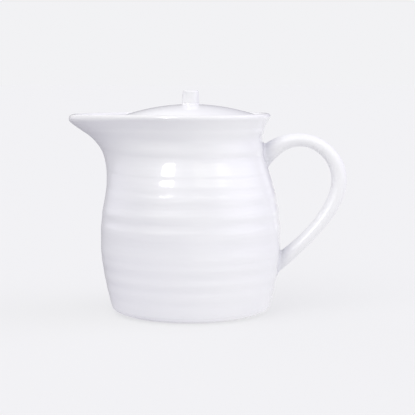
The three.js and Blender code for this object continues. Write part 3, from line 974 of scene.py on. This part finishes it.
# %% The knob
knob_radius, knob_taper, knob_round, knob_fillet, knob_sink = 6.1, 0.25, 1.3, 1.0, 0.25
fillet_start, fillet_end, fillet_steps, top_steps, side_points = -92, -182, 10, 12, 14
crown_dip, crown_points, base_points, knob_columns = 0.12, 8, 6, 96
knob_crease_reach, knob_thin_reach, knob_thin_share = 2.0, 1.4, 0.6
knob_top, knob_foot = knob_high[2], knob_radius + knob_taper
fillet_radius = knob_foot + knob_fillet
fillet_centre = np.array([fillet_radius, float(lid_top(fillet_radius)) + knob_fillet])
root = arc(fillet_centre, knob_fillet, fillet_start, fillet_end, fillet_steps)
top_centre = np.array([knob_radius - knob_taper - knob_round, knob_top - knob_round])
top_edge = arc(top_centre, knob_round, 0, 90, top_steps)
side = np.linspace(root[-1], top_edge[0], side_points)
top_line = np.linspace(top_edge[-1], (0, knob_top), crown_points)
top_line[:, 1] -= crown_dip * (1 - (top_line[:, 0] / top_line[0, 0]) ** 2)
base_radii = np.linspace(0, root[0, 0], base_points)
base = np.stack([base_radii, lid_top(base_radii) - knob_sink], axis=1)
knob_line = np.concatenate([base, root, side[1:], top_edge[1:], top_line[1:]])
knob_crease = smooth(1 - (knob_line[:, 1] - lid_top(knob_foot)) / knob_crease_reach)
from_edge = np.hypot(*(knob_line - top_edge[top_steps // 2]).T)
knob_thin = np.exp(-((from_edge / knob_thin_reach) ** 2)) * knob_thin_share
knob = turn_plain("knob_post", knob_line, knob_columns, {"crease": knob_crease, "thin": knob_thin})
knob.data.materials.append(knob_glaze)
print(f"knob: {len(knob.data.polygons)} faces, top at {knob_line[:, 1].max():.1f} mm")

# %% [markdown]
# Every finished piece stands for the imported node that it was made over, rides on that node's body,
# so that the lid and its knob rise together, and has that node's material slot.

# %% Each piece takes its place
for piece, node, body, slot in (
    (jug, "jug_body", "jug", "jug_glaze"), (handle, "handle", "jug", "handle_glaze"),
    (lid, "lid", "lid_assembly", "lid_glaze"), (knob, "lid_knob", "lid_assembly", "knob_glaze"),
):
    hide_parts(node)
    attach(piece, body)
    print(piece.name, "stands for", node, "on", body)

# %% [markdown]
# The stage is a plain pale floor, as in a light tent. It glows like a light table, so the shadow
# under the pot stays pale. What falls on the pot is stronger on the right, near the camera and
# close round the foot, while the camera sees one even tone. The floor runs far back under a sky of
# the same tone, so no horizon shows.

# %% Floor
PLAIN, COOL = np.array([1.0, 1.0, 1.0]), np.array([0.96, 0.93, 1.1])
floor_size, floor_white, floor_tone = 60.0, 0.25, (0.595, 0.595, 0.605, 1)
floor_glow = {
    "left_near": (0.53, COOL), "left_out": (0.2, COOL), "left_far": (0.15, COOL),
    "right_near": (0.8, PLAIN), "right_far": (0.55, PLAIN),
}
foot_glow, foot_glow_full, foot_glow_end = (0.06, 0.06, 0.06), 0.056, 0.08
left_until, right_from, near_until, far_from = -0.15, 0.12, -0.12, 0.12
out_start, out_end = 0.22, 0.34
floor_mesh = bpy.data.meshes.new("floor")
half = floor_size / 2
floor_corners = [(-half, -half, 0), (half, -half, 0), (half, half, 0), (-half, half, 0)]
floor_mesh.from_pydata(floor_corners, [], [(0, 1, 2, 3)])
floor = new_object("floor", floor_mesh)
floor_paint = bpy.data.materials.new("floor_paint")
tree = empty_tree(floor_paint)
place = add("ShaderNodeNewGeometry", tree=tree).outputs["Position"]
parts = add("ShaderNodeSeparateXYZ", {0: place}).outputs
rightward = faded(parts["X"], left_until, right_from)
farther = faded(parts["Y"], near_until, far_from)
from_foot = vectors("DISTANCE", place, (axis_x * MM, 0.0, 0.0), output="Value")
outer = faded(from_foot, out_start, out_end)
glow_of = {name: (*(bright * tint), 1) for name, (bright, tint) in floor_glow.items()}
left_glow = mixed(outer, glow_of["left_near"], glow_of["left_out"])
near_glow = mixed(rightward, left_glow, glow_of["right_near"])
far_glow = mixed(rightward, glow_of["left_far"], glow_of["right_far"])
on_pot = mixed(farther, near_glow, far_glow)
by_foot = faded(from_foot, foot_glow_full, foot_glow_end, 1.0, 0.0)
on_pot = vectors("ADD", on_pot, scaled(foot_glow, by_foot))
camera_ray = add("ShaderNodeLightPath", tree=tree).outputs["Is Camera Ray"]
glow = add("ShaderNodeEmission", {"Color": mixed(camera_ray, on_pot, floor_tone)})
paint = add("ShaderNodeBsdfDiffuse", {"Color": (floor_white, floor_white, floor_white, 1)}, tree)
both = add("ShaderNodeAddShader", {0: paint.outputs[0], 1: glow.outputs[0]})
add("ShaderNodeOutputMaterial", {"Surface": both.outputs[0]})
floor_mesh.materials.append(floor_paint)
print(f"floor: {floor_size:.0f} m square, with {len(floor_glow)} zones of glow")

# %% [markdown]
# The tent's walls are soft patches of light in the sky that fall off smoothly, so the glaze shows
# no edges. Each one is given by its azimuth (0 behind the camera, 90 to the right of the pot) and
# elevation in degrees, how tight and how bright it is, and its tint. An image of a studio would do
# too, but patches can be moved one by one.

# %% Sky
sky_patches = {
    "left_low": (-110, 3, 6.0, 0.9, COOL),
    "right_low": (65, 3, 6.0, 1.25, PLAIN),
    "back_low": (150, 3, 6.0, 0.5, COOL),
    "back_left": (-150, 40, 7.0, 1.05, PLAIN),
    "front_left": (-30, 40, 7.0, 2.4, PLAIN),
    "right_wall": (95, 40, 7.0, 1.7, COOL),
    "ceiling": (-45, 75, 8.0, 1.0, PLAIN),
}
backdrop = (0.887, 0.887, 0.905, 1)


def way(azimuth, elevation):
    a, e = math.radians(azimuth), math.radians(elevation)
    return (math.sin(a) * math.cos(e), -math.cos(a) * math.cos(e), math.sin(e))


sky = bpy.data.worlds.new("studio")
bpy.context.scene.world = sky
tree = empty_tree(sky)
look = vectors("NORMALIZE", add("ShaderNodeTexCoord", tree=tree).outputs["Generated"])
total = (0.0, 0.0, 0.0)
for azimuth, elevation, tightness, bright, tint in sky_patches.values():
    facing = vectors("DOT_PRODUCT", look, way(azimuth, elevation), output="Value")
    lobe = maths("EXPONENT", times(maths("SUBTRACT", facing, 1.0), tightness))
    total = vectors("ADD", scaled(tuple(bright * tint), lobe), total)
camera_ray = add("ShaderNodeLightPath", tree=tree).outputs["Is Camera Ray"]
seen = mixed(camera_ray, total, backdrop)
light = add("ShaderNodeBackground", {"Color": seen, "Strength": 1.0})
add("ShaderNodeOutputWorld", {"Surface": light.outputs[0]})
print("sky patches:", list(sky_patches))

# %% [markdown]
# Glossy glaze shows the tent's windows as crisp highlights. Four area lights make them. They light
# no diffuse surface and the camera doesn't see them, so they change nothing but the highlights.
# Each has an azimuth and an elevation, a width and a height in metres, a power in watts and a tint.

# %% Windows that show as highlights
window_distance, pot_middle, white = 0.85, (axis_x * MM, 0.0, 0.1), (1.0, 1.0, 1.0)
windows = {
    "window_left": (-35, 38, 0.226, 0.30, 9.0, white),
    "window_right": (54, 36, 0.30, 0.30, 0.35, white),
    "window_wide": (30, 36, 0.62, 0.30, 0.7, (1.0, 1.0, 0.8)),
    "window_back": (134, 8, 0.24, 0.8, 0.25, white),
}
for name, (azimuth, elevation, wide, high, power, tint) in windows.items():
    window = bpy.data.lights.new(name, "AREA")
    window.shape, window.size, window.size_y = "RECTANGLE", wide, high
    window.energy, window.color = power, tint
    pane = new_object(name, window)
    pane.visible_diffuse = pane.visible_camera = False
    stand_off = [window_distance * part for part in way(azimuth, elevation)]
    pane.location = [middle + part for middle, part in zip(pot_middle, stand_off)]
    pane.rotation_euler = (math.radians(90 - elevation), 0, math.radians(azimuth))
print("windows:", list(windows))

# %% [markdown]
# The camera looks at the pot from the front and a little from above, through a long lens, as for a
# catalogue picture. The Standard view transform keeps white glaze white.

# %% Camera
camera_place, camera_pitch, camera_lens = (-0.0005, -1.0, 0.1767), 5.558, 115.45
camera_data = bpy.data.cameras.new("camera")
camera_data.lens, camera_data.sensor_width = camera_lens, 36.0
camera = new_object("camera", camera_data)
camera.location = camera_place
camera.rotation_euler = (math.radians(90 - camera_pitch), 0, 0)
bpy.context.scene.camera = camera
bpy.context.scene.view_settings.view_transform = "Standard"
print(f"camera: {camera_lens} mm lens, looking {camera_pitch} degrees down")
